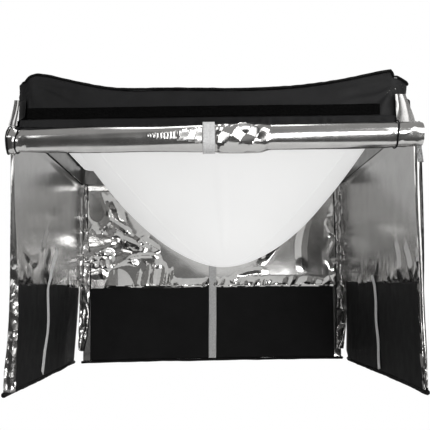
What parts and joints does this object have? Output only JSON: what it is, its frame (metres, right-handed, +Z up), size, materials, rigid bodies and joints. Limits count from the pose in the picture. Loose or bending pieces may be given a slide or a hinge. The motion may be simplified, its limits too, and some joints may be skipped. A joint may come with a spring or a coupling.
{
  "type": "overhead lantern softbox with light skirts",
  "caption": "Square overhead softbox with a white diffuser bowl in a black rim and silver-lined drop skirts, the front one rolled up, hung from a stud on a rotating rod ring.",
  "frame": {"origin": "centre of the mounting stud's top face; the skirts' hems are 0.806 m below it", "axes": "+Z up along the stud and the turning axis; the open front with the rolled skirt faces -Y; +X is to the right seen from the front"},
  "size_m": [0.9206, 0.9777, 0.8062],
  "materials": {
    "black_cloth": "black nylon with a slight sheen",
    "silver_cloth": "crinkled silver foil lining, black nylon on the outside",
    "white_cloth": "matte white translucent diffuser cloth",
    "hook_strip": "black fuzzy hook-and-loop tape",
    "webbing": "light grey woven strap",
    "black_plastic": "moulded black plastic",
    "aluminium": "cast and turned, satin",
    "steel": "turned and zinc plated"
  },
  "bodies": {
    "hub": {"stud": "steel", "stud_bracket": "aluminium", "bracket_screw_front": "steel", "bracket_screw_back": "steel", "retainer_ring": "aluminium", "core_ring": "aluminium"},
    "cover": {"rod_ring": "aluminium", "rod_socket_front_left": "aluminium", "rod_front_left": "steel", "corner_pocket_front_left": "black_plastic", "rod_socket_front_right": "aluminium", "rod_front_right": "steel", "corner_pocket_front_right": "black_plastic", "rod_socket_back_right": "aluminium", "rod_back_right": "steel", "corner_pocket_back_right": "black_plastic", "rod_socket_back_left": "aluminium", "rod_back_left": "steel", "corner_pocket_back_left": "black_plastic", "roof_panel_front": "black_cloth", "roof_panel_right": "black_cloth", "roof_panel_back": "black_cloth", "roof_panel_left": "black_cloth", "header_band": "black_cloth", "edge_binding": "black_cloth", "hook_strip_front": "hook_strip", "hook_strip_right": "hook_strip", "hook_strip_back": "hook_strip", "hook_strip_left": "hook_strip", "diffuser_gore_front": "white_cloth", "diffuser_gore_right": "white_cloth", "diffuser_gore_back": "white_cloth", "diffuser_gore_left": "white_cloth", "left_skirt_border": "black_cloth", "right_skirt_border": "black_cloth", "back_skirt_border": "black_cloth", "front_skirt_border": "black_cloth"},
    "left_skirt": {"left_skirt_panel": "silver_cloth", "left_skirt_band": "black_cloth", "left_skirt_hem": "black_cloth", "left_edge_flap": "silver_cloth"},
    "right_skirt": {"right_skirt_panel": "silver_cloth", "right_skirt_band": "black_cloth", "right_skirt_hem": "black_cloth", "right_edge_flap": "silver_cloth"},
    "back_skirt": {"back_skirt_panel": "silver_cloth", "back_skirt_band": "black_cloth", "back_skirt_hem": "black_cloth"},
    "front_roll": {"front_skirt_sheet": "silver_cloth", "front_skirt_roll": "silver_cloth", "roll_strap": "webbing", "roll_end_tab": "webbing"},
    "left_strap": {"left_skirt_strap": "webbing"},
    "right_strap": {"right_skirt_strap": "webbing"},
    "back_strap": {"back_skirt_strap": "webbing"},
    "left_closure": {"left_corner_closure": "silver_cloth"},
    "right_closure": {"right_corner_closure": "silver_cloth"},
    "lock_knob_left": {"lock_knob_left": "black_plastic"},
    "lock_knob_right": {"lock_knob_right": "black_plastic"}
  },
  "joints": [
    {"name": "cover_spin", "type": "hinge", "parent": "hub", "child": "cover", "pos_m": [0, 0, -0.067], "axis": [0, 0, 1], "continuous": true},
    {"name": "left_skirt_swing", "type": "hinge", "parent": "cover", "child": "left_skirt", "pos_m": [-0.4543, 0, -0.198], "axis": [0, 1, 0], "range_deg": [0, 85]},
    {"name": "right_skirt_swing", "type": "hinge", "parent": "cover", "child": "right_skirt", "pos_m": [0.4543, 0, -0.198], "axis": [0, -1, 0], "range_deg": [0, 85]},
    {"name": "back_skirt_swing", "type": "hinge", "parent": "cover", "child": "back_skirt", "pos_m": [0, 0.4543, -0.198], "axis": [1, 0, 0], "range_deg": [0, 85]},
    {"name": "front_roll_swing", "type": "hinge", "parent": "cover", "child": "front_roll", "pos_m": [0, -0.4525, -0.2087], "axis": [-1, 0, 0], "range_deg": [0, 70]},
    {"name": "left_strap_swing", "type": "hinge", "parent": "left_skirt", "child": "left_strap", "pos_m": [-0.4509, -0.085, -0.461], "axis": [0, -1, 0], "range_deg": [0, 70]},
    {"name": "right_strap_swing", "type": "hinge", "parent": "right_skirt", "child": "right_strap", "pos_m": [0.4509, -0.02, -0.536], "axis": [0, 1, 0], "range_deg": [0, 70]},
    {"name": "back_strap_swing", "type": "hinge", "parent": "back_skirt", "child": "back_strap", "pos_m": [-0.002, 0.4509, -0.461], "axis": [-1, 0, 0], "range_deg": [0, 70]},
    {"name": "left_closure_peel", "type": "hinge", "parent": "back_skirt", "child": "left_closure", "pos_m": [-0.424, 0.4505, -0.483], "axis": [0, 0, 1], "range_deg": [0, 150]},
    {"name": "right_closure_peel", "type": "hinge", "parent": "back_skirt", "child": "right_closure", "pos_m": [0.424, 0.4505, -0.483], "axis": [0, 0, -1], "range_deg": [0, 150]},
    {"name": "lock_knob_left_turn", "type": "hinge", "parent": "hub", "child": "lock_knob_left", "pos_m": [-0.091, 0, -0.051], "axis": [0, 0, 1], "range_deg": [0, 270]},
    {"name": "lock_knob_right_turn", "type": "hinge", "parent": "hub", "child": "lock_knob_right", "pos_m": [0.091, 0, -0.051], "axis": [0, 0, 1], "range_deg": [0, 270]}
  ]
}
